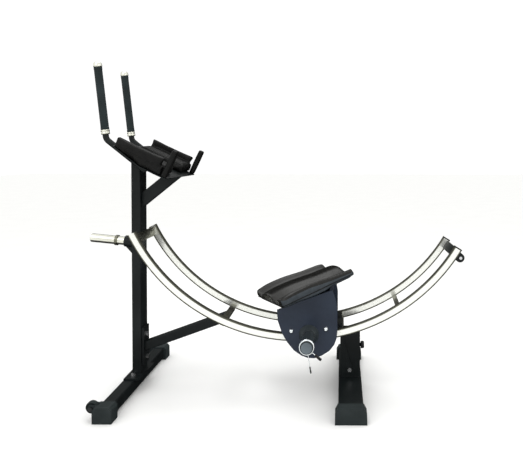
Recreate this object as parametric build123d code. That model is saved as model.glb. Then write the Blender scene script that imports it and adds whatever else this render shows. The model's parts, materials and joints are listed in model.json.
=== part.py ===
"""Plate-loaded ab crunch machine: a knee-seat carriage that rolls on two curved rails.

Millimetres, +Z up, +X from the arm pads towards the rear leg, Y across the machine.
The floor is Z = 0 and the origin is under the centre of the bounding box.
Names ending in _l are on the -Y side, names ending in _r on the +Y side.
"""
from math import asin, atan2, cos, degrees, hypot, radians, sin
import os

from build123d import *

# ---- overall layout -------------------------------------------------------------
ORIGIN_SHIFT_X = 4.6          # design datum to the centre of the bounding box
TRACK_WIDTH = 700.0           # across both stabilizer feet

# ---- rails ----------------------------------------------------------------------
ARC_X, ARC_Z = 113.3, 1058.9  # centre of both rail arcs
RAIL_R_OUT = 809.5            # underside radius
RAIL_H, RAIL_W = 33.0, 26.0
RAIL_WALL = 2.0
RAIL_Y = 125.5                # rail centre plane
RAIL_FRONT, RAIL_REAR = 63.4, 58.5   # degrees each way from straight down
RAIL_R_IN = RAIL_R_OUT - RAIL_H
RAIL_INNER_Y = RAIL_Y - RAIL_W / 2

# ---- post, stabilizers, leg, strut ------------------------------------------------
POST_X0, POST_X1, POST_HALF_Y = -633.0, -593.0, 40.0
STAB_FRONT_X, STAB_FRONT_W = -631.0, 50.0
STAB_REAR_X, STAB_REAR_W = 334.0, 100.0
STAB_Z0, STAB_Z1 = 8.0, 58.0
LEG_X0, LEG_X1, LEG_HALF_Y, LEG_TOP = 291.0, 379.0, 35.0, 262.0
LEG_BAR_A0, LEG_BAR_A1 = 11.84, 13.84
BASE_X0, BASE_X1, BASE_HALF_Y, BASE_T = -652.0, -580.0, 90.0, 8.0
BRACE_Z, BRACE_SLOPE, BRACE_DEPTH = 839.0, 39.0, 50.0
WHEEL_X, WHEEL_Z, WHEEL_R = -681.5, 52.0, 24.0
KNOB_Z, KNOB_R = 187.5, 16.5
STRUT_X, STRUT_Z, STRUT_SLOPE, STRUT_SIZE = -379.0, 257.0, 19.9, 40.0
STRUT_BAR_A0 = -24.9

# ---- arm pads: frame u along the slope (down to the rear), n square to it ---------
PAD_X, PAD_Z, PAD_SLOPE = -653.0, 1048.0, 25.2
PAD_LEN, PAD_TOP, LIP_TOP, LIP_LEN = 228.0, 46.0, 82.0, 217.0
PAD_BEND_U, PAD_FRONT_N, TRAY_T = 132.0, 31.5, 4.0
PAD_Y0, PAD_Y1, LIP_T = 62.0, 221.0, 30.0
STOP_T, STOP_TOP, STOP_Y0 = 24.0, 125.0, 183.0

# ---- handles ------------------------------------------------------------------------
HANDLE_Y, HANDLE_R, HANDLE_WALL = 138.0, 12.5, 2.0
GRIP_R, GRIP_TOP, GRIP_FOOT = 17.0, (-733.0, 1432.0), (-701.0, 1137.0)
COLLAR_H, CAP_H = 19.0, 23.0

# ---- storage horn -------------------------------------------------------------------
STORE_R, STORE_TIP = 19.0, (-826.5, 668.0)
STORE_ROOT_Z, STORE_SOCKET_R, STORE_STOP = 649.0, 25.0, 86.0

# ---- carriage -------------------------------------------------------------------------
SEAT_X, SEAT_Z, SEAT_TILT, SEAT_SWIVEL = 129.0, 448.5, 19.9, 24.4
SEAT_LEN, SEAT_WIDTH, SEAT_CORNER = 356.0, 428.0, 26.0
# Stations along the seat, the end ones just past its ends: place, height of the side ridges,
# lower edge of the side skirts.
SEAT_STATIONS = ((-184, 38, -2), (-125, 44, -5), (-80, 45, -8), (-35, 43.5, -11), (15, 39, -11),
                 (65, 34.5, -4), (115, 32, -2), (184, 29, -2))
# Across the seat: place and height compared with the side ridges (two shin troughs).
SEAT_WAVE = ((218, -15), (205, 0), (190, -1), (149, -14), (125, -18), (96, -11), (54, -1), (0, 3))
SKIRT_T = 16.0
PLATE_Y0, PLATE_Y1 = 150.0, 158.0
HORN_X, HORN_Z, HORN_R, HORN_END_Y = 159.0, 286.0, 25.0, 316.0
HORN_SLEEVE_Y0, HORN_SLEEVE_Y1 = 182.0, 292.0
ROLLER_R, ROLLER_GAP = 18.7, 0.3
UPPER_ANGLES, LOWER_ANGLE = (-2.13, 8.9), 3.38
ROLLER_Y0, ROLLER_Y1, PIN_R, RUN_FIT = 113.4, 137.4, 5.0, 0.05
LOCK_RADIUS, SWIVEL_RANGE = 95.0, 48.8

SIDES = (("l", -1), ("r", 1))
os.makedirs("parts", exist_ok=True)


def save(node, name):
    """Write one node, moved so that the origin sits under the bounding box."""
    shift = Pos(ORIGIN_SHIFT_X, 0, 0)
    if isinstance(node, list):
        node = Compound(children=[shift * solid for solid in node])
    else:
        node = shift * node
    export_step(node, f"parts/{name}.step")


def box(x0, x1, y0, y1, z0, z1):
    y0, y1 = min(y0, y1), max(y0, y1)
    return Pos((x0 + x1) / 2, (y0 + y1) / 2, (z0 + z1) / 2) * Box(x1 - x0, y1 - y0, z1 - z0)


def slab(points, y0, y1, radius=0.0):
    """Polygon in X-Z, carried across Y from y0 to y1, with optional rounded corners."""
    y0, y1 = min(y0, y1), max(y0, y1)
    face = make_face(Polyline(*points, close=True))
    if radius:
        face = fillet(face.vertices(), radius)
    plane = Plane(origin=(0, y1, 0), x_dir=(1, 0, 0), z_dir=(0, -1, 0))
    return extrude(plane * face, amount=y1 - y0)


def bar_y(x, z, r, y0, y1):
    """Round bar along Y."""
    y0, y1 = min(y0, y1), max(y0, y1)
    return Pos(x, (y0 + y1) / 2, z) * Rot(90, 0, 0) * Cylinder(r, y1 - y0)


def bar_x(x0, x1, y, z, r):
    """Round bar along X."""
    return Pos((x0 + x1) / 2, y, z) * Rot(0, 90, 0) * Cylinder(r, x1 - x0)


def polar(radius, angle):
    """Point at a radius and an angle from straight down, positive to the rear."""
    return (ARC_X + radius * sin(radians(angle)), ARC_Z - radius * cos(radians(angle)))


def sector(r0, r1, a0, a1, steps=6):
    """Outline of a short piece of the rail arc."""
    turns = [a0 + (a1 - a0) * i / steps for i in range(steps + 1)]
    return [polar(r0, a) for a in turns] + [polar(r1, a) for a in reversed(turns)]


def inside_arc(radius):
    """Everything nearer to the arc centre than radius."""
    return bar_y(ARC_X, ARC_Z, radius, -400, 400)


def pad_point(u, n):
    c, s = cos(radians(PAD_SLOPE)), sin(radians(PAD_SLOPE))
    return (PAD_X + u * c + n * s, PAD_Z - u * s + n * c)


def seat_plane(n=0.0, swivel=0.0):
    """Plane square to the seat's swivel axis, n above the seat's underside."""
    t = radians(SEAT_TILT)
    axis = Vector(-sin(t), 0, cos(t))
    a = radians(swivel)
    forward = Vector(cos(t), 0, sin(t)) * cos(a) + Vector(0, 1, 0) * sin(a)
    return Plane(origin=Vector(SEAT_X, 0, SEAT_Z) + axis * n, x_dir=forward, z_dir=axis)


def seat_point(r, n):
    t = radians(SEAT_TILT)
    return (SEAT_X + r * cos(t) - n * sin(t), SEAT_Z + r * sin(t) + n * cos(t))


def hex_head(af, height):
    return extrude(RegularPolygon(af / 2, 6, major_radius=False), amount=height)


def frame_parts():
    # Stabilizer tubes and their feet.
    for name, x, width in (("front", STAB_FRONT_X, STAB_FRONT_W), ("rear", STAB_REAR_X, STAB_REAR_W)):
        half = width / 2
        outer = extrude(Plane.XZ * RectangleRounded(width, STAB_Z1 - STAB_Z0, 5), 340, both=True)
        inner = extrude(Plane.XZ * RectangleRounded(width - 5, STAB_Z1 - STAB_Z0 - 5, 2.5), 340, both=True)
        tube = Pos(x, 0, (STAB_Z0 + STAB_Z1) / 2) * outer
        save(tube - Pos(x, 0, (STAB_Z0 + STAB_Z1) / 2) * inner, f"{name}_stabilizer")
        for side, s in SIDES:
            if name == "front":
                foot = slab([(x - 38, 0), (x + 38, 0), (x + 38, 52), (x + 29, 63), (x - 29, 63),
                             (x - 38, 52)], s * 290, s * TRACK_WIDTH / 2)
                foot += slab([(-656, 28), (-688, 36), (-695, 52), (-688, 66), (-656, 63)],
                             s * 296, s * 332)
                foot -= box(-760, -656.1, s * 303, s * 325, -5, 90)
                foot -= bar_y(WHEEL_X, WHEEL_Z, PIN_R, s * 290, s * 340)
            else:
                foot = slab([(x - 63, 0), (x + 63, 0), (x + 62, 42), (x + 51, 62), (x - 51, 62),
                             (x - 62, 42)], s * 300, s * TRACK_WIDTH / 2)
            save(foot - tube, f"{name}_foot_{side}")

    # Upright post on its base plate.
    above_tray = slab([pad_point(-200, PAD_FRONT_N + 200 * PAD_FRONT_N / PAD_BEND_U),
                       pad_point(0, PAD_FRONT_N), pad_point(PAD_BEND_U, 0), pad_point(500, 0),
                       pad_point(500, 400), pad_point(-200, 400)], -300, 300)
    base_top = STAB_Z1 + BASE_T
    save(box(BASE_X0, BASE_X1, -BASE_HALF_Y, BASE_HALF_Y, STAB_Z1, base_top), "post_base")
    xm = (POST_X0 + POST_X1) / 2
    outline = RectangleRounded(POST_X1 - POST_X0, 2 * POST_HALF_Y, 4)
    hollow = RectangleRounded(POST_X1 - POST_X0 - 6, 2 * POST_HALF_Y - 6, 2)
    post = Pos(xm, 0, base_top) * extrude(outline - hollow, amount=1000)
    save(post - above_tray, "post")

    # Lower strut between the post and the rails.
    save(box(POST_X1, POST_X1 + 10, -32, 32, 104, 270), "strut_bracket")
    c, s = cos(radians(STRUT_SLOPE)), sin(radians(STRUT_SLOPE))
    strut = extrude(RectangleRounded(STRUT_SIZE, STRUT_SIZE, 4)
                    - RectangleRounded(STRUT_SIZE - 5, STRUT_SIZE - 5, 2), 300, both=True)
    strut = Pos(STRUT_X, 0, STRUT_Z) * Rot(0, 90 - STRUT_SLOPE, 0) * strut
    strut -= box(-900, POST_X1 + 10, -50, 50, 0, 500)
    strut -= slab(sector(600, 950, STRUT_BAR_A0, 20), -50, 50)
    save(strut, "strut")

    # Rear leg, its saddle under the rails and its two cheek plates.
    saddle = box(LEG_X0, 307, -LEG_HALF_Y, LEG_HALF_Y, LEG_TOP, 300)
    save(saddle - inside_arc(RAIL_R_OUT), "leg_saddle")
    over = box(200, 500, -120, 120, LEG_TOP, 600)
    leg = extrude(RectangleRounded(LEG_X1 - LEG_X0, 2 * LEG_HALF_Y, 5)
                  - RectangleRounded(LEG_X1 - LEG_X0 - 6, 2 * LEG_HALF_Y - 6, 2.5), amount=300)
    leg = Pos((LEG_X0 + LEG_X1) / 2, 0, STAB_Z1) * leg - over
    leg -= bar_x(LEG_X1 - 10, LEG_X1 + 10, 0, KNOB_Z, PIN_R)
    save(leg, "leg")
    cheek = [(291, 262), (300, 264), (309, 212), (341, 105), (341, 76), (291, 76)]
    cheeks = [slab(cheek, s * LEG_HALF_Y, s * (LEG_HALF_Y + 6)) - over for _, s in SIDES]
    save(cheeks, "leg_cheeks")

    # Rails, their end plugs and the members between them.
    section = RectangleRounded(RAIL_W, RAIL_H, 4)
    core = RectangleRounded(RAIL_W - 2 * RAIL_WALL, RAIL_H - 2 * RAIL_WALL, 2)
    axis = Axis((ARC_X, 0, ARC_Z), (0, 1, 0))
    plugs, lids = [], []
    for side, s in SIDES:
        plane = Plane(origin=(ARC_X, s * RAIL_Y, ARC_Z - (RAIL_R_IN + RAIL_R_OUT) / 2),
                      x_dir=(0, 1, 0), z_dir=(1, 0, 0))
        rail = revolve(plane * (section - core), axis, revolution_arc=RAIL_FRONT + RAIL_REAR)
        save(rail.rotate(axis, -RAIL_REAR), f"rail_{side}")
        plug = extrude(plane * RectangleRounded(RAIL_W + 1, RAIL_H + 1, 3), amount=5)
        plugs.append(plug.rotate(axis, -RAIL_REAR))
        lid = extrude(plane * RectangleRounded(RAIL_W, RAIL_H, 4), amount=-2)
        lids.append(lid.rotate(axis, RAIL_FRONT))
    save(plugs, "rail_plugs")
    save(lids, "rail_lids")
    y = RAIL_INNER_Y
    save(box(POST_X1, POST_X1 + 10, -y, y, 660, 701), "crossbar_front")
    for name, r0, r1, a0, a1 in (("strut", 792, 820, STRUT_BAR_A0, -23.1),
                                 ("leg", RAIL_R_IN, RAIL_R_OUT, LEG_BAR_A0, LEG_BAR_A1),
                                 ("tie", 801, 809, 31.6, 33.0), ("rear", 798, 808, 55.4, 58.3)):
        save(slab(sector(r0, r1, a0, a1), -y, y), f"crossbar_{name}")
    bx, bz = polar(823, 56.55)
    lift = bar_y(bx, bz, 19, -126, 126) - bar_y(bx, bz, 16.5, -120, 120)
    save(lift - inside_arc(RAIL_R_OUT + 0.01), "lift_bar")

    # Storage horn on the post.
    dx, dz = STORE_TIP[0] - POST_X0, STORE_TIP[1] - STORE_ROOT_Z
    length, lean = hypot(dx, dz), degrees(atan2(dz, -dx))
    along = Pos(POST_X0, 0, STORE_ROOT_Z) * Rot(0, -90 + lean, 0)
    beyond = box(POST_X0, 0, -60, 60, 500, 800)
    free = length - STORE_STOP
    horn = along * (Pos(0, 0, STORE_STOP + free / 2) * Cylinder(STORE_R, free))
    horn = chamfer(horn.edges().sort_by(Axis.X)[0], 1.5)
    horn = horn + along * (Pos(0, 0, STORE_STOP / 2 - 5) * Cylinder(STORE_R - 0.4, STORE_STOP + 10)) - beyond
    save(horn, "storage_horn")
    socket = along * (Pos(0, 0, 16) * Cylinder(STORE_SOCKET_R, 52))
    gusset = slab([(POST_X0, 585), (POST_X0, 640), (-672, 645), (-672, 628)], -4, 4)
    save((socket + gusset) - along * (Pos(0, 0, 20) * Cylinder(STORE_R - 0.4, 100)) - beyond, "horn_socket")
    ring = along * (Pos(0, 0, STORE_STOP - 6) * (Cylinder(23, 11) - Cylinder(STORE_R - 0.4, 11)))
    save(ring, "storage_ring")

    # Arm tray, brace and pads.
    tray = [pad_point(0, PAD_FRONT_N), pad_point(PAD_BEND_U, 0), pad_point(PAD_LEN + STOP_T, 0),
            pad_point(PAD_LEN + STOP_T, TRAY_T), pad_point(PAD_BEND_U, TRAY_T),
            pad_point(0, PAD_FRONT_N + TRAY_T)]
    save(slab(tray, -215, 215), "arm_tray")
    a = radians(BRACE_SLOPE)
    half = BRACE_DEPTH / 2
    along_b, up_b = (cos(a), sin(a)), (-sin(a), cos(a))

    def brace_bar(p, q, y):
        """Bar along the brace, past its ends by p, q above and below its axis."""
        ends = ((-p, -q), (200 + p, -q), (200 + p, q), (-p, q))
        return slab([(POST_X1 + u * along_b[0] + v * up_b[0], BRACE_Z + u * along_b[1] + v * up_b[1])
                     for u, v in ends], -y, y)

    brace = brace_bar(60, half, 20) - brace_bar(70, half - 2.5, 17.5)
    save(brace - above_tray - box(-900, POST_X1, -50, 50, 600, 1200), "arm_brace")
    for side, s in SIDES:
        pad = slab([pad_point(0, PAD_FRONT_N + TRAY_T), pad_point(PAD_BEND_U, TRAY_T),
                    pad_point(PAD_LEN, TRAY_T), pad_point(PAD_LEN, PAD_TOP), pad_point(0, PAD_TOP)],
                   s * PAD_Y0, s * PAD_Y1)
        pad += slab([pad_point(0, PAD_TOP), pad_point(LIP_LEN, PAD_TOP), pad_point(LIP_LEN, LIP_TOP),
                     pad_point(0, LIP_TOP)], s * (PAD_Y1 - LIP_T), s * PAD_Y1)
        save(pad, f"arm_pad_{side}")
        stop = slab([pad_point(PAD_LEN, TRAY_T), pad_point(PAD_LEN + STOP_T, TRAY_T),
                     pad_point(PAD_LEN + STOP_T, STOP_TOP), pad_point(PAD_LEN, STOP_TOP)],
                    s * STOP_Y0, s * PAD_Y1)
        save(stop, f"elbow_stop_{side}")

    # Handles: bent tube under the tray, rubber grip, collar ring and end cap.
    gx, gz = GRIP_TOP[0] - GRIP_FOOT[0], GRIP_TOP[1] - GRIP_FOOT[1]
    reach = hypot(gx, gz)
    lean = degrees(atan2(-gx, gz))
    up = Pos(GRIP_FOOT[0], 0, GRIP_FOOT[1]) * Rot(0, -lean, 0)
    front, bend = pad_point(0, PAD_FRONT_N), pad_point(PAD_BEND_U, 0)
    tx, tz = bend[0] - front[0], bend[1] - front[1]
    norm = hypot(tx, tz)
    tx, tz = tx / norm, tz / norm
    run = (front[0] + tz * HANDLE_R, front[1] - tx * HANDLE_R)
    # The bend's corner is where the grip's axis meets the line under the tray.
    k = ((run[0] - GRIP_FOOT[0]) * tz - (run[1] - GRIP_FOOT[1]) * tx) / (gx / reach * tz - gz / reach * tx)
    knee = (GRIP_FOOT[0] + k * gx / reach, GRIP_FOOT[1] + k * gz / reach)
    tail_t = (-530.0 - run[0]) / tx
    tail = (run[0] + tail_t * tx, run[1] + tail_t * tz)
    top = (GRIP_FOOT[0] + gx * (reach - CAP_H) / reach, GRIP_FOOT[1] + gz * (reach - CAP_H) / reach)
    trims = []
    for side, s in SIDES:
        y = s * HANDLE_Y
        path = FilletPolyline((top[0], y, top[1]), (knee[0], y, knee[1]), (tail[0], y, tail[1]), radius=32)
        start = Plane(origin=(top[0], y, top[1]), z_dir=path % 0)
        tube = sweep(start * (Circle(HANDLE_R) - Circle(HANDLE_R - HANDLE_WALL)), path=path)
        save(tube, f"handle_{side}")
        place = Pos(0, y, 0) * up
        z0, z1 = COLLAR_H / 2, reach - CAP_H
        grip = Pos(0, 0, (z0 + z1) / 2) * (Cylinder(GRIP_R, z1 - z0) - Cylinder(HANDLE_R, z1 - z0))
        save(place * grip, f"grip_{side}")
        collar = Cylinder(GRIP_R + 1, COLLAR_H) - Cylinder(HANDLE_R, COLLAR_H)
        cap = Pos(0, 0, reach - CAP_H / 2) * Cylinder(GRIP_R + 0.5, CAP_H)
        cap = fillet(cap.edges().sort_by(Axis.Z)[-1], 6)
        trims += [place * collar, place * cap]
    save(trims, "grip_trim")

    # Bolt heads and the wheel axles.
    bolts = [Pos(-624, s * 52, STAB_Z1 + BASE_T) * hex_head(17, 7) for _, s in SIDES]
    bolts += [Pos(POST_X1 + 10, 0, z) * Rot(0, 90, 0) * hex_head(17, 7) for z in (234, 133)]
    bolts += [Pos(333, s * (LEG_HALF_Y + 6), 90) * Rot(-90 * s, 0, 0) * hex_head(17, 7) for _, s in SIDES]
    bolts += [Pos(bx + 2, s * 126, bz) * Rot(-90 * s, 0, 0) * hex_head(12, 4) for _, s in SIDES]
    save(bolts, "frame_bolts")
    axles = [bar_y(WHEEL_X, WHEEL_Z, PIN_R, s * 293, s * 335) + bar_y(WHEEL_X, WHEEL_Z, 8, s * 332, s * 337)
             + bar_y(WHEEL_X, WHEEL_Z, 8, s * 292, s * 296) for _, s in SIDES]
    save(axles, "wheel_axles")


def moving_parts():
    plate = [(28, 344), (46, 291), (68, 253), (96, 219), (128, 197), (155, 187), (184, 186), (213, 197),
             (245, 217), (266, 243), (276, 271), (279, 304), (279, 388), (271, 437)]
    outline = [seat_point(-118, -19)] + plate + [seat_point(130, -19)]
    spots = [polar(RAIL_R_IN - ROLLER_GAP - ROLLER_R, a) for a in UPPER_ANGLES]
    spots.append(polar(RAIL_R_OUT + ROLLER_GAP + ROLLER_R, LOWER_ANGLE))
    pins = []
    for side, s in SIDES:
        body = slab(outline, s * PLATE_Y0, s * PLATE_Y1)
        for x, z in spots:
            body -= bar_y(x, z, PIN_R, s * 140, s * 170)
        save(body, f"side_plate_{side}")
        for i, (x, z) in enumerate(spots):
            pin = bar_y(x, z, PIN_R, s * 110, s * PLATE_Y1) + bar_y(x, z, 8, s * 110, s * 113)
            pin += bar_y(x, z, 9, s * 137.8, s * PLATE_Y0)
            pins.append(pin + bar_y(x, z, 8, s * PLATE_Y1, s * (PLATE_Y1 + 6)))
            roller = bar_y(x, z, ROLLER_R, s * ROLLER_Y0, s * ROLLER_Y1)
            roller = chamfer(roller.edges().filter_by(GeomType.CIRCLE), 1.5)
            roller -= bar_y(x, z, PIN_R + RUN_FIT, s * 100, s * 150)
            save(roller, f"roller_{('front', 'rear', 'lower')[i]}_{side}")

        # Loading horn: a coned root, the plate seat and a slightly smaller end.
        y = [s * v for v in (PLATE_Y1, HORN_SLEEVE_Y0, HORN_SLEEVE_Y1, HORN_END_Y)]
        root = Pos(HORN_X, (y[0] + y[1]) / 2, HORN_Z) * Rot(-90 * s, 0, 0) * Cone(42, 28, abs(y[1] - y[0]))
        end = bar_y(HORN_X, HORN_Z, HORN_R - 0.4, y[2], y[3])
        edge = end.edges().filter_by(GeomType.CIRCLE).sort_by(Axis.Y)[0 if s < 0 else -1]
        save(root + bar_y(HORN_X, HORN_Z, HORN_R, y[1], y[2]) + chamfer(edge, 2), f"weight_horn_{side}")

        # Spring collar: wire coils round the horn's end and two prongs.
        wire = 3.0
        coil_r = HORN_R + wire + 0.1
        collar = None
        for k in range(3):
            yk = s * (HORN_SLEEVE_Y1 + 4 + 5.7 * k)
            turn = Pos(HORN_X, yk, HORN_Z) * Rot(90, 0, 0) * Torus(coil_r, wire)
            collar = turn if collar is None else collar + turn
        for k, angle, length in ((0, 9, 78), (2, 50, 46)):
            yk = s * (HORN_SLEEVE_Y1 + 4 + 5.7 * k)
            prong = Pos(HORN_X, yk, HORN_Z) * Rot(0, 180 - angle, 0)
            collar += prong * (Pos(0, 0, coil_r + length / 2 - 1) * Cylinder(2.5, length))
            collar += prong * (Pos(0, 0, coil_r + length - 14) * Cylinder(4.5, 28))
        save(collar, f"spring_collar_{side}")

    save(pins, "roller_pins")

    # Bridge between the plates, with the lock pin's guide, and the swivel boss.
    y = PLATE_Y0
    bridge = slab([seat_point(-100, -27), seat_point(118, -27), seat_point(118, -19),
                   seat_point(-100, -19)], -y, y)
    for r in (-72, 112):
        bridge += slab([seat_point(r, -64), seat_point(r + 6, -64), seat_point(r + 6, -27),
                        seat_point(r, -27)], -y, y)
    lock = seat_plane(-27) * Pos(-LOCK_RADIUS + 6, 0, 0)
    bridge = bridge + lock * Pos(0, 0, -9) * Cylinder(10, 18)
    bridge -= lock * Cylinder(PIN_R + RUN_FIT, 80)
    save(bridge, "bridge")
    boss = seat_plane(-19) * extrude(Circle(60), amount=9.7)
    boss += seat_plane(-9.3) * extrude(Circle(12), amount=5)
    save(boss, "swivel_boss")
    pin = lock * Pos(0, 0, -5.5) * Cylinder(PIN_R, 55) + lock * Pos(0, 0, -42) * Cylinder(14, 18)
    save(pin, "lock_pin")

    # Seat: steel base plate with an arc slot for the lock pin, board and pad.
    swivel = SEAT_SWIVEL
    base = seat_plane(-9, swivel) * extrude(RectangleRounded(250, 220, 20), amount=5)
    slot_r, half = LOCK_RADIUS - 6, PIN_R + 0.5
    base -= seat_plane(-12) * extrude(Circle(12 + RUN_FIT), amount=12)
    ring = Circle(slot_r + half) - Circle(slot_r - half)
    a0, a1 = 180 - 0.5, 180 + SWIVEL_RANGE + 0.5
    steps = [a0 + (a1 - a0) * i / 8 for i in range(9)]
    wedge = make_face(Polyline((0, 0), *[(200 * cos(radians(a)), 200 * sin(radians(a))) for a in steps],
                               close=True))
    slot = ring & wedge
    for a in (a0, a1):
        slot += Pos(slot_r * cos(radians(a)), slot_r * sin(radians(a))) * Circle(half)
    base -= seat_plane(-9.5) * extrude(slot, amount=5.5)
    base += seat_plane(-4, swivel) * extrude(RectangleRounded(330, 390, 30), amount=4)
    save(base, "seat_base")
    across = seat_plane(0, swivel)
    half = SEAT_WIDTH / 2
    sections = []
    for r, ridge, skirt in SEAT_STATIONS:
        crest = [(-e, ridge + h) for e, h in SEAT_WAVE] + [(e, ridge + h) for e, h in SEAT_WAVE[-2::-1]]
        edge = Polyline(crest[-1], (half + 4, skirt), (-half - 4, skirt), crest[0])
        station = Plane(origin=across.origin + across.x_dir * r, x_dir=across.y_dir, z_dir=across.x_dir)
        sections.append(station * make_face(Spline(*crest) + edge))
    pad = loft(sections)
    pad &= seat_plane(-40, swivel) * extrude(RectangleRounded(SEAT_LEN, SEAT_WIDTH, SEAT_CORNER), amount=120)
    well = Pos(0, 0, -20) * Box(SEAT_LEN + 20, SEAT_WIDTH - 2 * SKIRT_T, 40)
    save(pad - across * well, "seat_pad")

    # Transport wheels and the leg's clamp knob.
    for side, s in SIDES:
        wheel = bar_y(WHEEL_X, WHEEL_Z, WHEEL_R, s * 304.3, s * 323.7)
        wheel = chamfer(wheel.edges().filter_by(GeomType.CIRCLE), 2)
        save(wheel - bar_y(WHEEL_X, WHEEL_Z, PIN_R + RUN_FIT, s * 290, s * 340), f"wheel_{side}")
    knob = bar_x(LEG_X1 + 3, LEG_X1 + 19, 0, KNOB_Z, KNOB_R)
    knob = fillet(knob.edges().filter_by(GeomType.CIRCLE), 2)
    save(knob + bar_x(LEG_X1 - 20, LEG_X1 + 4, 0, KNOB_Z, PIN_R - RUN_FIT), "leg_knob")


frame_parts()
moving_parts()
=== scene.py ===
"""Looks of the ab crunch machine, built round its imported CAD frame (Blender 4.5)."""

import json
import math

import bmesh
import bpy
from mathutils import Matrix, Vector


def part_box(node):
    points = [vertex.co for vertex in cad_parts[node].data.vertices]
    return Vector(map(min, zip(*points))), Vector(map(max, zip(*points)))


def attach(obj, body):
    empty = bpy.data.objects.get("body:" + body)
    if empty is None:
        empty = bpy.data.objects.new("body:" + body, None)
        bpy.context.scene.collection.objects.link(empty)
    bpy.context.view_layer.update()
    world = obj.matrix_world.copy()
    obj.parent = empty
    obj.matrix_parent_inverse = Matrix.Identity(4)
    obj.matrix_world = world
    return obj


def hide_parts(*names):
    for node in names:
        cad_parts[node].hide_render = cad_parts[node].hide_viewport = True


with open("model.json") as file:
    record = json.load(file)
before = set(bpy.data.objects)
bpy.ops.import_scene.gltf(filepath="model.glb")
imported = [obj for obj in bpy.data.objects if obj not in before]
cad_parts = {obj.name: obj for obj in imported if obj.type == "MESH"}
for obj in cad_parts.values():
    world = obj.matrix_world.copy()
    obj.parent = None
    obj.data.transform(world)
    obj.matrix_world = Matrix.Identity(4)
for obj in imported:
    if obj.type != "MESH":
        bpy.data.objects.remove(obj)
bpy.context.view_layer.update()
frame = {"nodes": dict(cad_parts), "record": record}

# ---- layout shared with the CAD, metres ------------------------------------------
SHIFT_X = 0.0046
SEAT_TILT, SEAT_SWIVEL = math.radians(19.9), math.radians(24.4)
SEAT_CENTRE = Vector((0.129 + SHIFT_X, 0, 0.4485))
PAD_ORIGIN, PAD_SLOPE = Vector((-0.653 + SHIFT_X, 0, 1.048)), math.radians(25.2)
GRIP_FOOT, GRIP_TOP = Vector((-0.701 + SHIFT_X, 0, 1.137)), Vector((-0.733 + SHIFT_X, 0, 1.432))
HANDLE_Y = 0.138
ARC, RAIL_IN, RAIL_OUT = Vector((0.1133 + SHIFT_X, 0, 1.0589)), 0.7765, 0.8095
HORN = Vector((0.159 + SHIFT_X, 0, 0.286))
HORN_SLEEVE_END, HORN_END, PIN_END = 0.292, 0.316, 0.164
ROLLER_SPOTS = ((0.7575, -2.13), (0.7575, 8.9), (0.8285, 3.38))   # distance and angle from the arc's centre
WHEEL_X, WHEEL_Y, WHEEL_Z, WHEEL_WIDTH = -0.6815 + SHIFT_X, 0.3043, 0.052, 0.0194
KNOB = Vector((0.379 + SHIFT_X, 0, 0.1875))
# Arm pads along their slope and square to it, and their place across the machine.
PAD_LEN, PAD_TOP, PAD_BEND, PAD_FRONT, TRAY_T = 0.228, 0.046, 0.132, 0.0315, 0.004
PAD_Y0, PAD_Y1, LIP_T, LIP_LEN, LIP_TOP = 0.062, 0.221, 0.030, 0.217, 0.082
STOP_T, STOP_TOP, STOP_Y0 = 0.024, 0.125, 0.183
INSET = 0.003   # how much smaller the pads start, because they swell
GRIP_R, TUBE_R, COLLAR_HALF, CAP_H = 0.017, 0.0127, 0.0095, 0.023
SIDES = (("l", -1), ("r", 1))

# ---- camera -----------------------------------------------------------------------
cam_data = bpy.data.cameras.new("camera")
camera = bpy.data.objects.new("camera", cam_data)
bpy.context.scene.collection.objects.link(camera)
bpy.context.scene.camera = camera
camera.location = (0.2995, -2.3827, 1.0593)
camera.rotation_euler = (math.radians(90 - 1.269), math.radians(-0.121), math.radians(0.173))
cam_data.sensor_width = 36
cam_data.lens = 36.667
cam_data.shift_x, cam_data.shift_y = -0.15, -0.12
cam_data.clip_start, cam_data.clip_end = 0.05, 60


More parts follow.
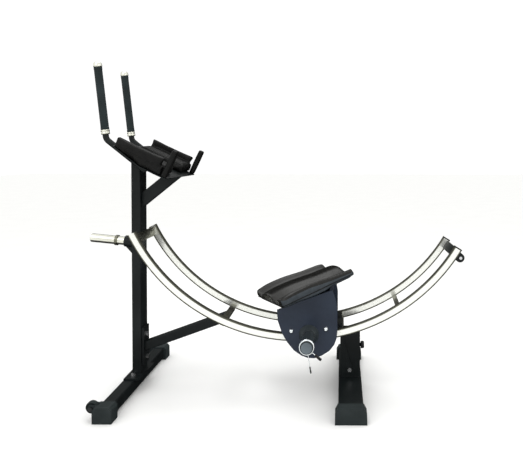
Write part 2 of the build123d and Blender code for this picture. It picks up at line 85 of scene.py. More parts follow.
# ---- materials ----------------------------------------------------------------------
class Shader:
    """A Principled material with helpers for its procedural nodes."""

    def __init__(self, name, **constants):
        self.material = bpy.data.materials.new(name)
        self.material.use_nodes = True
        self.tree = self.material.node_tree
        self.bsdf = self.tree.nodes["Principled BSDF"]
        for key, value in constants.items():
            self.bsdf.inputs[key.replace("_", " ")].default_value = value
        self.coords = self.tree.nodes.new("ShaderNodeTexCoord").outputs["Object"]
        self.normal = None

    def node(self, kind, **inputs):
        n = self.tree.nodes.new(kind)
        for key, value in inputs.items():
            socket = n.inputs[key.replace("_", " ")]
            if hasattr(value, "links"):
                self.tree.links.new(value, socket)
            else:
                socket.default_value = value
        return n

    def scaled(self, xyz):
        m = self.node("ShaderNodeMapping", Vector=self.coords)
        m.inputs["Scale"].default_value = xyz
        return m.outputs["Vector"]

    def noise(self, scale, detail=2.0, rough=0.5, vector=None, distortion=0.0):
        n = self.node("ShaderNodeTexNoise", Vector=vector or self.coords, Scale=scale, Detail=detail,
                      Roughness=rough, Distortion=distortion)
        return n.outputs["Fac"]

    def ramp(self, fac, *stops):
        n = self.node("ShaderNodeValToRGB", Fac=fac)
        while len(n.color_ramp.elements) < len(stops):
            n.color_ramp.elements.new(0.5)
        for element, (position, colour) in zip(n.color_ramp.elements, stops):
            element.position = position
            element.color = (*colour, 1)
        return n.outputs["Color"]

    def range(self, fac, low, high, from_low=0.3, from_high=0.7):
        n = self.node("ShaderNodeMapRange", Value=fac)
        for key, v in zip(("From Min", "From Max", "To Min", "To Max"), (from_low, from_high, low, high)):
            n.inputs[key].default_value = v
        return n.outputs["Result"]

    def maths(self, operation, a, b):
        n = self.tree.nodes.new("ShaderNodeMath")
        n.operation = operation
        for i, v in enumerate((a, b)):
            if hasattr(v, "links"):
                self.tree.links.new(v, n.inputs[i])
            else:
                n.inputs[i].default_value = v
        return n.outputs[0]

    def bump(self, height, strength, distance):
        n = self.node("ShaderNodeBump", Height=height, Strength=strength, Distance=distance)
        if self.normal:
            self.tree.links.new(self.normal, n.inputs["Normal"])
        self.normal = n.outputs["Normal"]
        self.tree.links.new(self.normal, self.bsdf.inputs["Normal"])

    def drive(self, socket, output):
        self.tree.links.new(output, self.bsdf.inputs[socket])


def paint(name, dark, light, rough=(0.34, 0.46), level=0.16):
    """Powder coat: fine orange peel, slow tone changes, faint scuffs."""
    s = Shader(name, Metallic=0.0, Specular_IOR_Level=level)
    scuff = s.noise(38, 6, 0.7, s.scaled((1, 6, 1)), 0.6)
    tone = s.noise(7, 3)
    mixed = s.maths("ADD", s.maths("MULTIPLY", tone, 0.75), s.maths("MULTIPLY", scuff, 0.25))
    s.drive("Base Color", s.ramp(mixed, (0.34, dark), (0.62, light)))
    s.drive("Roughness", s.range(scuff, *rough))
    s.bump(s.noise(1100, 2, 0.6), 0.22, 0.0004)
    s.bump(s.noise(90, 2), 0.05, 0.0006)
    return s.material


def metal(name, dark, light, rough=(0.1, 0.22), scale=60, bump=0.05):
    """Polished or plated steel with fine polishing lines and slight haze."""
    s = Shader(name, Metallic=1.0)
    lines = s.noise(scale, 4, 0.65)
    haze = s.noise(9, 3)
    s.drive("Base Color", s.ramp(haze, (0.3, dark), (0.65, light)))
    s.drive("Roughness", s.range(s.maths("ADD", s.maths("MULTIPLY", lines, 0.6),
                                         s.maths("MULTIPLY", haze, 0.4)), *rough))
    s.bump(lines, bump, 0.0002)
    return s.material


def rail_metal(name):
    """Bright side faces; the faces that the rollers run on and the corners are rougher and are painted a
    darker olive grey, a painted reflection of a dark surround.
    """
    s = Shader(name, Metallic=0.6)
    # Mask by face direction: faces turned to +Y or -Y keep the pale colour, the running faces and corners get
    # the painted olive reflection.
    geometry = s.tree.nodes.new("ShaderNodeNewGeometry")
    split = s.node("ShaderNodeSeparateXYZ", Vector=geometry.outputs["Normal"])
    faces = s.range(s.maths("ABSOLUTE", split.outputs["Y"], 0.0), 0.0, 1.0, 0.955, 0.992)
    from_arc = s.node("ShaderNodeMapping", Vector=s.coords)
    from_arc.inputs["Scale"].default_value = (1, 0, 1)
    from_arc.inputs["Location"].default_value = (-ARC.x, 0, -ARC.z)
    reach = s.tree.nodes.new("ShaderNodeVectorMath")
    reach.operation = "LENGTH"
    s.tree.links.new(from_arc.outputs["Vector"], reach.inputs[0])
    depth = s.range(reach.outputs["Value"], 0.0, 1.0, RAIL_IN, RAIL_OUT)
    # A dark band is painted along each edge of the side face: a painted reflection of a dark surround in the
    # rounded corners.
    painted_edge_reflection = s.ramp(depth, (0.08, (0, 0, 0)), (0.15, (1, 1, 1)), (0.77, (1, 1, 1)), (0.83, (0, 0, 0)))
    side = s.maths("MINIMUM", faces, painted_edge_reflection)
    lines = s.noise(70, 4, 0.65, s.scaled((1, 18, 1)))
    haze = s.noise(9, 3)
    # Near black and olive grey are painted reflections on the edges and running faces; the pale stop is the
    # side face; haze adds random tone.
    tone = s.maths("ADD", s.maths("MULTIPLY", side, 0.8), s.maths("MULTIPLY", haze, 0.2))
    s.drive("Base Color", s.ramp(tone, (0.06, (0.055, 0.055, 0.040)), (0.45, (0.30, 0.30, 0.25)),
                                 (0.88, (0.86, 0.87, 0.83))))
    dull = s.maths("MULTIPLY", s.maths("SUBTRACT", 1.0, side), 0.5)
    s.drive("Roughness", s.range(s.maths("ADD", s.maths("MULTIPLY", lines, 0.5), dull), 0.16, 0.36, 0.2, 0.8))
    s.bump(lines, 0.03, 0.0002)
    return s.material


def upholstery(name, dark, light, rough=(0.34, 0.48), grain=760, depth=0.5, level=0.25, coat=0.08):
    """Black vinyl: pebbled grain, soft creases and a thin top coat."""
    s = Shader(name, Coat_Weight=coat, Coat_Roughness=0.3, Specular_IOR_Level=level)
    cells = s.node("ShaderNodeTexVoronoi", Vector=s.coords, Scale=grain, Randomness=0.95)
    cells.feature = "DISTANCE_TO_EDGE"
    wrinkle = s.noise(46, 5, 0.6, distortion=0.8)
    s.drive("Base Color", s.ramp(wrinkle, (0.32, dark), (0.68, light)))
    s.drive("Roughness", s.range(s.noise(20, 4), *rough))
    s.bump(s.range(cells.outputs["Distance"], 0, 1, 0.0, 0.16), depth, 0.00035)
    s.bump(wrinkle, 0.14, 0.0008)
    return s.material


def moulded(name, dark, light, rough=(0.5, 0.68), grain=520, depth=0.3, level=0.25):
    """Moulded rubber or plastic with a fine spark-eroded texture."""
    s = Shader(name, Specular_IOR_Level=level)
    fine = s.noise(grain, 3, 0.6)
    s.drive("Base Color", s.ramp(s.noise(14, 4), (0.3, dark), (0.7, light)))
    s.drive("Roughness", s.range(fine, *rough))
    s.bump(fine, depth, 0.0004)
    return s.material


MAT = {
    "frame_paint": paint("black_powder_coat", (0.0035, 0.0050, 0.0053), (0.0080, 0.0105, 0.0110)),
    "carriage_paint": paint("navy_black_paint", (0.014, 0.020, 0.034), (0.022, 0.031, 0.050),
                            rough=(0.30, 0.42), level=0.20),
    "rail_steel": rail_metal("polished_stainless_painted_reflections"),
    "chrome": metal("bright_chrome", (0.66, 0.66, 0.58), (0.80, 0.80, 0.72), (0.08, 0.18), scale=25),
    "horn_sleeve": moulded("black_sleeve", (0.020, 0.026, 0.029), (0.036, 0.044, 0.048),
                           rough=(0.30, 0.42), grain=400, depth=0.12),
    "zinc": metal("zinc_plate", (0.62, 0.63, 0.65), (0.86, 0.87, 0.88), (0.18, 0.34), scale=300, bump=0.12),
    "foot_rubber": moulded("foot_rubber", (0.010, 0.015, 0.016), (0.020, 0.027, 0.028)),
    "grip_rubber": moulded("grip_foam", (0.006, 0.011, 0.012), (0.013, 0.022, 0.024),
                           rough=(0.48, 0.66), grain=900, depth=0.5, level=0.2),
    "pad_cover": upholstery("black_vinyl", (0.0016, 0.0017, 0.0017), (0.0045, 0.0046, 0.0044),
                            level=0.13, coat=0.03),
    "plastic": moulded("black_plastic", (0.004, 0.0045, 0.005), (0.010, 0.011, 0.012),
                       rough=(0.36, 0.5), grain=700, depth=0.2),
    "roller": moulded("roller_urethane", (0.05, 0.05, 0.05), (0.12, 0.12, 0.115),
                      rough=(0.4, 0.55), grain=300, depth=0.1),
}
DULL_STEEL = metal("dull_olive_steel", (0.13, 0.13, 0.10), (0.27, 0.27, 0.215), (0.22, 0.36), scale=120)
BLACK_ZINC = metal("black_zinc", (0.030, 0.031, 0.033), (0.075, 0.077, 0.080), (0.25, 0.42), 300, 0.1)
BRIGHT = metal("bright_wire", (0.78, 0.84, 0.87), (0.95, 0.98, 1.0), (0.10, 0.20), scale=200)
PLUG_GREY = moulded("end_plug", (0.060, 0.080, 0.095), (0.10, 0.13, 0.15), (0.25, 0.4), 300, 0.1, 0.5)
# Lighter bluish copy of the seat vinyl for the side walls: a painted reflection of the surroundings.
SEAT_SIDE_REFLECTION = upholstery("seat_side_painted_reflection", (0.0150, 0.0210, 0.0270), (0.0260, 0.0350, 0.0440),
                    rough=(0.40, 0.52), grain=900, depth=0.30, level=0.3, coat=0.05)
SEAT_COVER = upholstery("seat_vinyl", (0.0035, 0.0035, 0.0030), (0.0090, 0.0088, 0.0074),
                        rough=(0.20, 0.26), grain=900, depth=0.12, level=0.27, coat=0.0)

SLOT = {p["node"]: p["material_slot"] for p in frame["record"]["subparts"]}
EDGE = {"front_foot": 0.004, "rear_foot": 0.004, "side_plate": 0.0012, "post": 0.0012, "leg": 0.0012,
        "knob": 0.001, "horn_socket": 0.001, "frame_bolts": 0.0006}
DULL_NODES = ("crossbar_front", "crossbar_strut", "crossbar_leg", "crossbar_tie", "storage_ring")
DARK_NODES = ("wheel_axles", "roller_pins")
OWN_LOOK = {**{node: DULL_STEEL for node in DULL_NODES}, **{node: BLACK_ZINC for node in DARK_NODES}}
for name, obj in frame["nodes"].items():
    for slot in obj.material_slots:
        slot.material = OWN_LOOK.get(name, MAT[SLOT[name]])
    if name.startswith(("rail_l", "rail_r", "handle")):
        continue   # tubes whose CAD corners are already round
    width = next((w for key, w in EDGE.items() if name.startswith(key)), 0.0008)
    bevel = obj.modifiers.new("edge", "BEVEL")
    bevel.width, bevel.segments, bevel.limit_method = width, 2, "ANGLE"
    bevel.angle_limit = math.radians(35)


# ---- mesh helpers ---------------------------------------------------------------------
def piece(name, bm, body, slot, material=None, nodes=()):
    """Turn a bmesh in the row frame into a finished piece on a body."""
    mesh = bpy.data.meshes.new(name)
    bmesh.ops.remove_doubles(bm, verts=bm.verts, dist=1e-6)
    bmesh.ops.recalc_face_normals(bm, faces=bm.faces)
    bm.to_mesh(mesh)
    bm.free()
    obj = bpy.data.objects.new(name, mesh)
    bpy.context.scene.collection.objects.link(obj)
    mesh.materials.append(material or MAT[slot])
    for poly in mesh.polygons:
        poly.use_smooth = True
    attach(obj, body)
    if nodes:
        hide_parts(*nodes)
    return obj


def frame_of(axis):
    """Rotation whose Z is axis."""
    z = Vector(axis).normalized()
    x = Vector((0, 1, 0)).cross(z)
    if x.length < 1e-6:
        x = Vector((1, 0, 0)).cross(z)
    x.normalize()
    return Matrix((x, z.cross(x), z)).transposed()


def lathe(bm, origin, axis, profile, segments=64, shape=None):
    """Turn a (distance along axis, radius) profile; a radius of 0 closes the end."""
    rot = frame_of(axis)
    rings = []
    for h, r in profile:
        if r < 1e-7:
            rings.append([bm.verts.new(Vector(origin) + rot @ Vector((0, 0, h)))])
            continue
        ring = []
        for i in range(segments):
            a = 2 * math.pi * i / segments
            rr = r * (shape(a, h) if shape else 1)
            ring.append(bm.verts.new(Vector(origin) + rot @ Vector((rr * math.cos(a), rr * math.sin(a), h))))
        rings.append(ring)
    for a, b in zip(rings, rings[1:]):
        for i in range(segments):
            j = (i + 1) % segments
            if len(a) == 1:
                bm.faces.new((a[0], b[i], b[j]))
            elif len(b) == 1:
                bm.faces.new((a[i], a[j], b[0]))
            else:
                bm.faces.new((a[i], a[j], b[j], b[i]))


def sweep(bm, points, radius, segments=12, closed=False):
    """Round wire through points; radius may be a number or a function of 0..1."""
    pts = [Vector(p) for p in points]
    n = len(pts)
    size = radius if callable(radius) else (lambda t: radius)
    tangents = []
    for i in range(n):
        a, b = (pts[i - 1], pts[(i + 1) % n]) if closed else (pts[max(i - 1, 0)], pts[min(i + 1, n - 1)])
        tangents.append((b - a).normalized())
    normal = tangents[0].orthogonal().normalized()
    rings = []
    for i, (p, t) in enumerate(zip(pts, tangents)):
        normal = (normal - t * normal.dot(t)).normalized()
        side = t.cross(normal)
        r = size(i / max(n - 1, 1))
        rings.append([bm.verts.new(p + (normal * math.cos(a) + side * math.sin(a)) * r)
                      for a in (2 * math.pi * k / segments for k in range(segments))])
    pairs = list(zip(rings, rings[1:])) + ([(rings[-1], rings[0])] if closed else [])
    for a, b in pairs:
        for i in range(segments):
            j = (i + 1) % segments
            bm.faces.new((a[i], a[j], b[j], b[i]))
    if not closed:
        ends = ((rings[0], pts[0], -tangents[0], size(0)), (rings[-1], pts[-1], tangents[-1], size(1)))
        for ring, p, t, r in ends:
            tip = bm.verts.new(p + t * r * 0.6)
            for i in range(segments):
                bm.faces.new((ring[i], ring[(i + 1) % segments], tip))


def prism(bm, outline, to_world, y0, y1):
    """Closed solid from a 2-D outline, carried from y0 to y1 by to_world(u, v, y)."""
    rings = [[bm.verts.new(to_world(u, v, y)) for u, v in outline] for y in (y0, y1)]
    count = len(outline)
    for i in range(count):
        j = (i + 1) % count
        bm.faces.new((rings[0][i], rings[0][j], rings[1][j], rings[1][i]))
    bm.faces.new(rings[0])
    bm.faces.new(list(reversed(rings[1])))


# ---- soft pads --------------------------------------------------------------------------
CLOTH_STIFFNESS, CLOTH_FRAMES = 20, 20


def apply_modifiers(obj):
    dg = bpy.context.evaluated_depsgraph_get()
    mesh = bpy.data.meshes.new_from_object(obj.evaluated_get(dg), depsgraph=dg)
    old = obj.data
    obj.modifiers.clear()
    obj.data = mesh
    bpy.data.meshes.remove(old)


def smooth_mesh(mesh, rounds):
    work = bmesh.new()
    work.from_mesh(mesh)
    for _ in range(rounds):
        bmesh.ops.smooth_vert(work, verts=work.verts, factor=0.5, use_axis_x=True, use_axis_y=True,
                              use_axis_z=True)
    work.to_mesh(mesh)
    work.free()


def soft(name, bm, body, node, material, voxel, cap, pressure=4.0, rounds=4):
    """Remesh, round, inflate and smooth a stuffed form; no point moves further than cap."""
    obj = piece(name, bm, body, "pad_cover", material, (node,))
    mod = obj.modifiers.new("remesh", "REMESH")
    mod.mode, mod.voxel_size = "VOXEL", voxel
    apply_modifiers(obj)
    smooth_mesh(obj.data, rounds)
    start = [v.co.copy() for v in obj.data.vertices]
    cloth = obj.modifiers.new("cloth", "CLOTH")
    cloth.settings.use_pressure = True
    cloth.settings.uniform_pressure_force = pressure
    cloth.settings.effector_weights.gravity = 0
    cloth.settings.quality = 5
    cloth.settings.tension_stiffness = CLOTH_STIFFNESS
    cloth.settings.compression_stiffness = CLOTH_STIFFNESS
    cloth.collision_settings.use_self_collision = False
    for f in range(1, CLOTH_FRAMES + 1):
        bpy.context.scene.frame_set(f)
    apply_modifiers(obj)
    bpy.context.scene.frame_set(1)
    for v, s in zip(obj.data.vertices, start):
        move = v.co - s
        if move.length > cap:
            move = move.normalized() * cap
        v.co = s + move
    smooth_mesh(obj.data, 1)
    sub = obj.modifiers.new("subdivide", "SUBSURF")
    sub.levels = sub.render_levels = 1
    apply_modifiers(obj)
    for poly in obj.data.polygons:
        poly.use_smooth = True
    return obj


def slices(obj, point, normal):
    """Closed outlines where a plane cuts a piece, each as ordered points."""
    bm = bmesh.new()
    bm.from_mesh(obj.data)
    geometry = bm.verts[:] + bm.edges[:] + bm.faces[:]
    cut = bmesh.ops.bisect_plane(bm, geom=geometry, plane_co=point, plane_no=normal)
    edges = [e for e in cut["geom_cut"] if isinstance(e, bmesh.types.BMEdge)]
    links = {}
    for e in edges:
        for a, b in (e.verts, reversed(e.verts)):
            links.setdefault(a, []).append(b)
    loops, seen = [], set()
    for start in sorted(links, key=lambda v: (round(v.co.x, 5), round(v.co.y, 5), round(v.co.z, 5))):
        if start in seen:
            continue
        loop, current = [], start
        while current and current not in seen:
            seen.add(current)
            loop.append(current.co.copy())
            current = next((v for v in links[current] if v not in seen), None)
        if len(loop) > 20:
            loops.append(loop)
    bm.free()
    return sorted(loops, key=len, reverse=True)


def resample(loop, step):
    """Evenly spaced points round a closed outline, slightly smoothed."""
    pts = loop + [loop[0]]
    lengths = [0.0]
    for a, b in zip(pts, pts[1:]):
        lengths.append(lengths[-1] + (b - a).length)
    count = max(12, int(lengths[-1] / step))
    out, k = [], 0
    for i in range(count):
        d = lengths[-1] * i / count
        while lengths[k + 1] < d:
            k += 1
        t = (d - lengths[k]) / max(lengths[k + 1] - lengths[k], 1e-9)
        out.append(pts[k].lerp(pts[k + 1], t))
    for _ in range(2):
        out = [(out[i - 1] + out[i] * 2 + out[(i + 1) % count]) / 4 for i in range(count)]
    return out


def welt(name, obj, point, normal, body, radius=0.0019, sink=0.0004):
    """Piped seam round a pad, sunk slightly into its surface."""
    loops = slices(obj, point, normal)
    bm = bmesh.new()
    for loop in loops[:1]:
        pts = resample(loop, 0.006)
        centre = sum(pts, Vector()) / len(pts)
        pts = [p + (centre - p).normalized() * sink for p in pts]
        sweep(bm, pts, radius, 10, closed=True)
    return piece(name, bm, body, "pad_cover")


def pad_space(u, n, y):
    c, s = math.cos(PAD_SLOPE), math.sin(PAD_SLOPE)
    return PAD_ORIGIN + Vector((u * c + n * s, y, -u * s + n * c))


def rectangle(u0, u1, n0, n1):
    return [(u0, n0), (u1, n0), (u1, n1), (u0, n1)]


PAD_N = Vector((math.sin(PAD_SLOPE), 0, math.cos(PAD_SLOPE)))
PAD_U = Vector((math.cos(PAD_SLOPE), 0, -math.sin(PAD_SLOPE)))
for side, s in SIDES:
    floor_n, top_n, tail_u = TRAY_T + INSET, PAD_TOP - 0.004, PAD_LEN - 0.0025
    outline = [(INSET, PAD_FRONT + TRAY_T + 0.002), (PAD_BEND, floor_n), (tail_u, floor_n), (tail_u, top_n),
               (INSET, top_n)]
    bm = bmesh.new()
    prism(bm, outline, pad_space, *sorted((s * (PAD_Y0 + INSET), s * (PAD_Y1 - INSET))))
    outline = rectangle(INSET, LIP_LEN - INSET, PAD_TOP - 0.012, LIP_TOP - INSET)
    prism(bm, outline, pad_space, *sorted((s * (PAD_Y1 - LIP_T + INSET), s * (PAD_Y1 - INSET))))
    pad = soft(f"arm_pad_{side}_cover", bm, "frame", f"arm_pad_{side}", MAT["pad_cover"], 0.0045, 0.005)
    welt(f"arm_pad_{side}_welt", pad, pad_space(0.1, 0.0395, 0), PAD_N, "frame")
    bm = bmesh.new()
    outline = rectangle(PAD_LEN + 0.001, PAD_LEN + STOP_T - 0.001, TRAY_T + 0.0012, STOP_TOP - 0.001)
    prism(bm, outline, pad_space, s * (STOP_Y0 + 0.0015), s * (PAD_Y1 - 0.0015))
    stop = soft(f"elbow_stop_{side}_cover", bm, "frame", f"elbow_stop_{side}", MAT["pad_cover"],
                0.004, 0.0025, rounds=2)
    welt(f"elbow_stop_{side}_welt", stop, pad_space(0.2475, 0.06, 0), PAD_U, "frame", 0.0012)


def seat_space(r, e, n):
    c, s = math.cos(SEAT_SWIVEL), math.sin(SEAT_SWIVEL)
    along, across = r * c - e * s, r * s + e * c
    ct, st = math.cos(SEAT_TILT), math.sin(SEAT_TILT)
    return SEAT_CENTRE + Vector((along * ct - n * st, across, along * st + n * ct))


SEAT_N = seat_space(0, 0, 1) - SEAT_CENTRE
# Seat pad, from its centre: stations along it (place, ridge height, skirt height), then the wave
# across it (distance from the middle, height above the ridge).
STATIONS = ((-0.175, 0.036, 0.004), (-0.125, 0.041, 0.001), (-0.080, 0.042, -0.003), (-0.035, 0.0405, -0.006),
            (0.015, 0.036, -0.006), (0.065, 0.0315, 0.000), (0.115, 0.029, 0.002), (0.175, 0.026, 0.002))
WAVE = ((0.2105, -0.014), (0.202, -0.001), (0.187, 0.0), (0.149, -0.017), (0.125, -0.022), (0.096, -0.014),
        (0.054, -0.001), (0.0, 0.004))
SEAT_HALF, SEAT_CORNER, SKIRT_IN, WAVE_END = 0.211, 0.026, 0.199, 0.2105
SEAT_END, SEAT_ROWS, SEAT_COLUMNS, SEAT_FLOOR = 0.175, 60, 76, 0.0035


def smooth_at(table, x, column=1):
    """Catmull-Rom value from a table sorted by its first column."""
    rows = sorted(table)
    last = len(rows) - 2
    i = next((k for k in range(last + 1) if rows[k + 1][0] >= x), last)
    p = [rows[max(0, min(len(rows) - 1, i + d))] for d in (-1, 0, 1, 2)]
    t = (x - p[1][0]) / (p[2][0] - p[1][0])
    m1 = (p[2][column] - p[0][column]) / max(p[2][0] - p[0][0], 1e-9) * (p[2][0] - p[1][0])
    m2 = (p[3][column] - p[1][column]) / max(p[3][0] - p[1][0], 1e-9) * (p[2][0] - p[1][0])
    t2, t3 = t * t, t * t * t
    return (p[1][column] * (2 * t3 - 3 * t2 + 1) + m1 * (t3 - 2 * t2 + t)
            + p[2][column] * (3 * t2 - 2 * t3) + m2 * (t3 - t2))


def seat_reach(r):
    """Half width of the seat at r, with its plan corners rounded."""
    over = abs(r) - (SEAT_END - SEAT_CORNER)
    return SEAT_HALF - (SEAT_CORNER - math.sqrt(max(SEAT_CORNER ** 2 - over ** 2, 0)) if over > 0 else 0)


bm = bmesh.new()
rings = []
for k in range(SEAT_ROWS + 1):
    r = -SEAT_END + 2 * SEAT_END * k / SEAT_ROWS
    wide = seat_reach(r)
    ridge, skirt = smooth_at(STATIONS, r), smooth_at(STATIONS, r, 2)
    ring = []
    for i in range(SEAT_COLUMNS + 1):
        e = (2 * i / SEAT_COLUMNS - 1) * SEAT_HALF
        ring.append((e * wide / SEAT_HALF, ridge + smooth_at(WAVE, min(abs(e), WAVE_END))))
    inner = wide - (SEAT_HALF - SKIRT_IN)
    low = min(skirt, 0.0)
    ring += [(wide, skirt), (inner, low), (inner, SEAT_FLOOR), (-inner, SEAT_FLOOR), (-inner, low),
             (-wide, skirt)]
    rings.append([bm.verts.new(seat_space(r, e, n)) for e, n in ring])
count = len(rings[0])
for a, b in zip(rings, rings[1:]):
    for i in range(count):
        j = (i + 1) % count
        bm.faces.new((a[i], a[j], b[j], b[i]))
bm.faces.new(rings[0])
bm.faces.new(list(reversed(rings[-1])))
seat = soft("seat_cover", bm, "seat", "seat_pad", SEAT_COVER, 0.0045, 0.003, pressure=3.0, rounds=2)
seat.data.materials.append(SEAT_SIDE_REFLECTION)
across = (seat_space(0, 1, 0) - SEAT_CENTRE).normalized()
# The two long side walls get a lighter bluish copy of the vinyl: a painted reflection.
for poly in seat.data.polygons:
    if poly.normal.dot(SEAT_N) < 0.42 and abs(poly.normal.dot(across)) > 0.45:
        poly.material_index = 1
welt("seat_welt", seat, seat_space(0, 0, 0.0085), SEAT_N, "seat", 0.0021)

# ---- handles: grips, collar rings and end caps ------------------------------------------
reach = (GRIP_TOP - GRIP_FOOT).length
along = (GRIP_TOP - GRIP_FOOT).normalized()
z0, z1 = COLLAR_HALF, reach - CAP_H
GROOVES = 30
trim = bmesh.new()
for side, s in SIDES:
    foot = GRIP_FOOT + Vector((0, s * HANDLE_Y, 0))
    profile = [(z0, TUBE_R), (z0, 0.0158), (z0 + 0.002, GRIP_R), (z0 + 0.010, GRIP_R), (z0 + 0.012, 0.0161)]
    for i in range(GROOVES + 1):
        h = z0 + 0.014 + (z1 - z0 - 0.028) * i / GROOVES
        profile += [(h - 0.0012, 0.01655), (h, 0.0161), (h + 0.0012, 0.01655)]
    profile += [(z1 - 0.012, 0.0161), (z1 - 0.010, GRIP_R), (z1 - 0.002, GRIP_R), (z1, 0.0158), (z1, TUBE_R)]
    bm = bmesh.new()
    lathe(bm, foot, along, profile + profile[:1], 48)
    piece(f"grip_{side}_foam", bm, "frame", "grip_rubber", nodes=(f"grip_{side}",))
    lathe(trim, foot, along, [(-COLLAR_HALF, TUBE_R), (-COLLAR_HALF, 0.0165), (-0.008, 0.018),
                              (-0.004, 0.018), (-0.003, 0.0172), (0.003, 0.0172), (0.004, 0.018),
                              (0.008, 0.018), (0.0094, 0.0165), (0.0094, TUBE_R), (-COLLAR_HALF, TUBE_R)], 48)
    lathe(trim, foot, along, [(z1 + 0.0002, 0.0), (z1 + 0.0002, 0.0163), (z1 + 0.0015, 0.0175),
                              (z1 + 0.0115, 0.0175), (z1 + 0.0125, 0.0168), (z1 + 0.0145, 0.0170),
                              (z1 + 0.019, 0.0152), (z1 + 0.0218, 0.011), (z1 + 0.0228, 0.0055),
                              (z1 + 0.023, 0.0)], 48)
piece("grip_trim_turned", trim, "frame", "chrome", nodes=("grip_trim",))

# ---- spring collars ----------------------------------------------------------------------
WIRE_R, PRONG_R, COIL_R, TURNS, HELIX_STEPS = 0.0028, 0.0015, 0.0279, 2, 120
# Each collar's two prongs: angle, distance along the horn, and reach beyond the coil.
FIRST_A, FIRST_Y, FIRST_REACH = math.radians(9), 0.0035, 0.078
LAST_A, LAST_Y, LAST_REACH = math.radians(50), 0.016, 0.046
for side, s in SIDES:
    bm = bmesh.new()
    centre = HORN + Vector((0, s * (HORN_SLEEVE_END + 0.0015), 0))

    def collar_point(angle, radius, y):
        return centre + Vector((radius * math.sin(angle), s * y, -radius * math.cos(angle)))

    def helix_point(i):
        angle = FIRST_A + (2 * math.pi * TURNS + (LAST_A - FIRST_A)) * i / HELIX_STEPS
        return collar_point(angle, COIL_R, FIRST_Y + (LAST_Y - FIRST_Y) * i / HELIX_STEPS)

    helix = [helix_point(i) for i in range(HELIX_STEPS + 1)]
    first = [collar_point(FIRST_A, COIL_R + FIRST_REACH * (1 - k / 8), FIRST_Y) for k in range(8)]
    last = [collar_point(LAST_A, COIL_R + LAST_REACH * k / 6, LAST_Y) for k in range(1, 7)]
    steps = len(first + helix + last) - 1
    thick_from, thick_to = len(first) - 0.5, steps - len(last) - 0.5
    sweep(bm, first + helix + last, lambda t: WIRE_R if thick_from < t * steps < thick_to else PRONG_R, 12)
    piece(f"spring_collar_{side}_wire", bm, f"collar_{side}", "chrome", BRIGHT, (f"spring_collar_{side}",))
    bm = bmesh.new()
    for angle, y, far, grip_len, thick in ((FIRST_A, FIRST_Y, FIRST_REACH, 0.026, 0.64),
                                           (LAST_A, LAST_Y, LAST_REACH, 0.030, 1.2)):
        a = collar_point(angle, COIL_R + far - grip_len, y)
        direction = (collar_point(angle, 1, y) - collar_point(angle, 0, y)).normalized()
        sleeve = [(0, 0), (0.0, 0.0040), (0.0015, 0.0046), (grip_len * 0.5, 0.0042),
                  (grip_len - 0.002, 0.0048), (grip_len + 0.001, 0.0036), (grip_len + 0.002, 0)]
        lathe(bm, a, direction, [(h, r * thick) for h, r in sleeve], 20)
    piece(f"spring_collar_{side}_grips", bm, f"collar_{side}", "plastic")

# ---- transport wheels ----------------------------------------------------------------------
for side, s in SIDES:
    bm = bmesh.new()
    centre = Vector((WHEEL_X, s * WHEEL_Y, WHEEL_Z))
    w = WHEEL_WIDTH
    lathe(bm, centre, (0, s, 0), [(0.004, 0.00505), (0.0, 0.0062), (0.0, 0.0090), (0.0035, 0.0100),
                                  (0.0035, 0.0165), (0.0, 0.0180), (0.0, 0.0215), (0.002, 0.0238),
                                  (0.0055, 0.0240), (0.0065, 0.0232), (w - 0.0065, 0.0232),
                                  (w - 0.0055, 0.0240), (w - 0.002, 0.0238), (w, 0.0215), (w, 0.0180),
                                  (w - 0.0035, 0.0165), (w - 0.0035, 0.0100), (w, 0.0090), (w, 0.0062),
                                  (w - 0.004, 0.00505), (0.004, 0.00505)], 56)
    piece(f"wheel_{side}_tread", bm, f"wheel_{side}", "foot_rubber", nodes=(f"wheel_{side}",))

# ---- clamp knob --------------------------------------------------------------------------
bm = bmesh.new()
lathe(bm, KNOB, (1, 0, 0), [(0.001, 0.0), (0.001, 0.0075), (0.003, 0.0085), (0.004, 0.0150), (0.007, 0.0163),
                            (0.014, 0.0163), (0.0175, 0.0150), (0.019, 0.0110), (0.0185, 0.0060),
                            (0.018, 0.0)],
      72, lambda a, h: 1.0 if h < 0.0035 else 1 - 0.07 * (0.5 - 0.5 * math.cos(6 * a)) ** 2)
piece("leg_knob_lobed", bm, "knob", "plastic", nodes=("leg_knob",))

# ---- domed heads on the carriage's roller pins and the horns' end plugs ---------------------
heads, plugs = bmesh.new(), bmesh.new()
for side, s in SIDES:
    for radius, angle in ROLLER_SPOTS:
        a = math.radians(angle)
        at = ARC + Vector((radius * math.sin(a), s * PIN_END, -radius * math.cos(a)))
        lathe(heads, at, (0, s, 0), [(-0.0055, 0.0), (-0.0055, 0.0095), (-0.0045, 0.0100), (-0.0040, 0.0086),
                                     (-0.001, 0.0084), (0.0015, 0.0070), (0.0028, 0.0045), (0.0022, 0.0034),
                                     (0.0005, 0.0032), (0.0005, 0.0)], 40)
    lathe(plugs, HORN + Vector((0, s * (HORN_END - 0.0015), 0)), (0, s, 0),
          [(-0.002, 0.0), (-0.002, 0.0215), (0.0025, 0.0225), (0.0032, 0.0208), (0.0026, 0.0185),
           (0.0022, 0.0120), (0.0030, 0.0)], 56)
piece("pin_heads", heads, "carriage", "zinc", BRIGHT)
piece("horn_plugs", plugs, "carriage", "plastic", PLUG_GREY)


# ---- weld beads ----------------------------------------------------------------------------
def bead(bm, points, closed=False, radius=0.0026, pitch=0.0042):
    """Rippled weld along a polyline."""
    pts = [Vector(p) for p in points]
    run = pts + ([pts[0]] if closed else [])
    out = []
    for a, b in zip(run, run[1:]):
        n = max(2, int((b - a).length / (pitch / 2)))
        out += [a.lerp(b, i / n) for i in range(n)]
    if not closed:
        out.append(run[-1])
    count = len(out)
    sweep(bm, out, lambda t: radius * (0.85 + 0.15 * math.cos(math.pi * t * (count - 1))), 8, closed=closed)


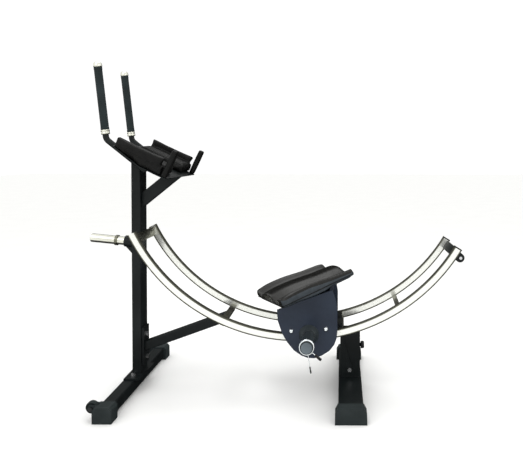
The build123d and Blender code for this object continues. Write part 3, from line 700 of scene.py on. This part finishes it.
welds = bmesh.new()
lo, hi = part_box("post")
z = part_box("post_base")[1][2]
lo, hi = Vector(lo), Vector(hi)
bead(welds, [(lo.x, lo.y, z), (hi.x, lo.y, z), (hi.x, hi.y, z), (lo.x, hi.y, z)], closed=True)
lo, hi = Vector(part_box("leg")[0]), Vector(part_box("leg")[1])
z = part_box("rear_stabilizer")[1][2]
bead(welds, [(lo.x, lo.y, z), (hi.x, lo.y, z), (hi.x, hi.y, z), (lo.x, hi.y, z)], closed=True)
piece("frame_welds", welds, "frame", "frame_paint")

# ---- floor, backdrop light and lamps ---------------------------------------------------------
floor_mesh = bpy.data.meshes.new("floor")
floor_mesh.from_pydata([(-14, -10, 0), (14, -10, 0), (14, 22, 0), (-14, 22, 0)], [], [(0, 1, 2, 3)])
floor = bpy.data.objects.new("floor", floor_mesh)
bpy.context.scene.collection.objects.link(floor)
ground = Shader("pale_floor", Roughness=0.95, Specular_IOR_Level=0.0)
path = ground.tree.nodes.new("ShaderNodeLightPath")
pale = ground.ramp(ground.noise(3, 2), (0.3, (0.95, 0.95, 0.95)), (0.7, (0.97, 0.97, 0.97)))
shade = ground.node("ShaderNodeMix")
shade.data_type = "RGBA"
ground.tree.links.new(path.outputs["Is Glossy Ray"], shade.inputs[0])
ground.tree.links.new(pale, shade.inputs[6])
# The camera sees the floor pale; reflections see it dark beyond Y -0.25, under and behind the machine.
place = ground.node("ShaderNodeSeparateXYZ", Vector=ground.coords)
near = ground.ramp(ground.range(place.outputs["Y"], 1.0, 0.0, -0.75, -0.25), (0.0, (0.03, 0.03, 0.03)),
                   (1.0, (0.97, 0.97, 0.96)))
ground.tree.links.new(near, shade.inputs[7])
ground.drive("Base Color", shade.outputs[2])
floor_mesh.materials.append(ground.material)

world = bpy.data.worlds.new("studio")
bpy.context.scene.world = world
world.use_nodes = True
tree = world.node_tree
link = tree.links.new
background = tree.nodes["Background"]
coords = tree.nodes.new("ShaderNodeTexCoord")
split = tree.nodes.new("ShaderNodeSeparateXYZ")
link(coords.outputs["Generated"], split.inputs[0])


def room_ramp(axis, low, high):
    """0 below low, 1 above high, along one axis of the room."""
    spread = tree.nodes.new("ShaderNodeMapRange")
    spread.interpolation_type = "SMOOTHSTEP"
    spread.inputs["From Min"].default_value, spread.inputs["From Max"].default_value = low, high
    link(split.outputs[axis], spread.inputs["Value"])
    return spread.outputs["Result"]


# The room is a bright tent that opens on a dark space low down beyond the machine.
above = tree.nodes.new("ShaderNodeMath")
above.operation = "SUBTRACT"
above.inputs[0].default_value = 1.0
link(room_ramp("Z", 0.45, 0.90), above.inputs[1])
opening = tree.nodes.new("ShaderNodeMath")
opening.operation = "MULTIPLY"
link(room_ramp("Y", 0.62, 0.88), opening.inputs[0])
link(above.outputs[0], opening.inputs[1])
tent = tree.nodes.new("ShaderNodeMix")
tent.data_type = "RGBA"
link(opening.outputs[0], tent.inputs[0])
tent.inputs[6].default_value, tent.inputs[7].default_value = (1.10, 1.10, 1.08, 1), (0.02, 0.02, 0.02, 1)
link(tent.outputs[2], background.inputs["Color"])
background.inputs["Strength"].default_value = 1.0
# The camera itself sees plain white.
plain = tree.nodes.new("ShaderNodeBackground")
plain.inputs["Color"].default_value = (1, 1, 1, 1)
plain.inputs["Strength"].default_value = 1.06
path = tree.nodes.new("ShaderNodeLightPath")
mix = tree.nodes.new("ShaderNodeMixShader")
link(path.outputs["Is Camera Ray"], mix.inputs["Fac"])
link(background.outputs[0], mix.inputs[1])
link(plain.outputs[0], mix.inputs[2])
link(mix.outputs[0], tree.nodes["World Output"].inputs["Surface"])

for name, place, size, power in (("key", (-1.6, -2.6, 3.0), 2.4, 20), ("fill", (2.6, -2.2, 2.2), 2.0, 12),
                                 ("back", (-0.5, 2.2, 2.5), 1.0, 3), ("top", (-0.5, 0.25, 3.0), 1.1, 16)):
    data = bpy.data.lights.new(name, "AREA")
    data.shape, data.size, data.energy = "SQUARE", size, power
    lamp = bpy.data.objects.new(name, data)
    bpy.context.scene.collection.objects.link(lamp)
    lamp.location = place
    lamp.rotation_euler = (Vector((0, 0, 0.6)) - Vector(place)).to_track_quat("-Z", "Y").to_euler()
bpy.context.scene.view_settings.view_transform = "Standard"
